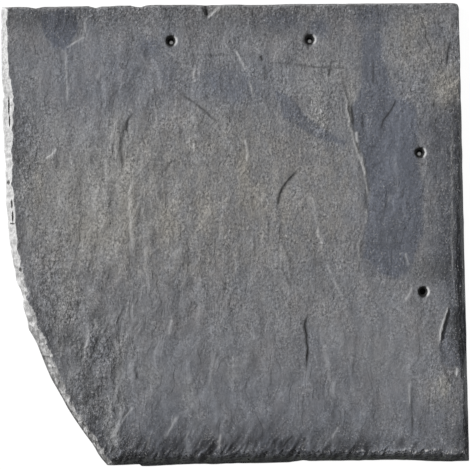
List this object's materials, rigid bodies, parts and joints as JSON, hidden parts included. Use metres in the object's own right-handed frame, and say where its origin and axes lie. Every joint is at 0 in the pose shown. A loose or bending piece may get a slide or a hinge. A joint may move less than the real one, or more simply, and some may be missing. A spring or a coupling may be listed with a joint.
{
  "type": "roof slate",
  "caption": "Bow-cut roof slate with hewn, chipped bevels, a riven face and punched nail holes along the head and one side.",
  "frame": {"origin": "middle of the plan's bounding box, on the back", "axes": "+X towards the side with two nail holes, +Y towards the head, +Z out of the riven face"},
  "size_m": [0.304, 0.3024, 0.0056],
  "materials": {
    "slate": "riven matte slate with pale hewn edges"
  },
  "bodies": {
    "root": {"roof_slate": "slate"}
  },
  "joints": []
}
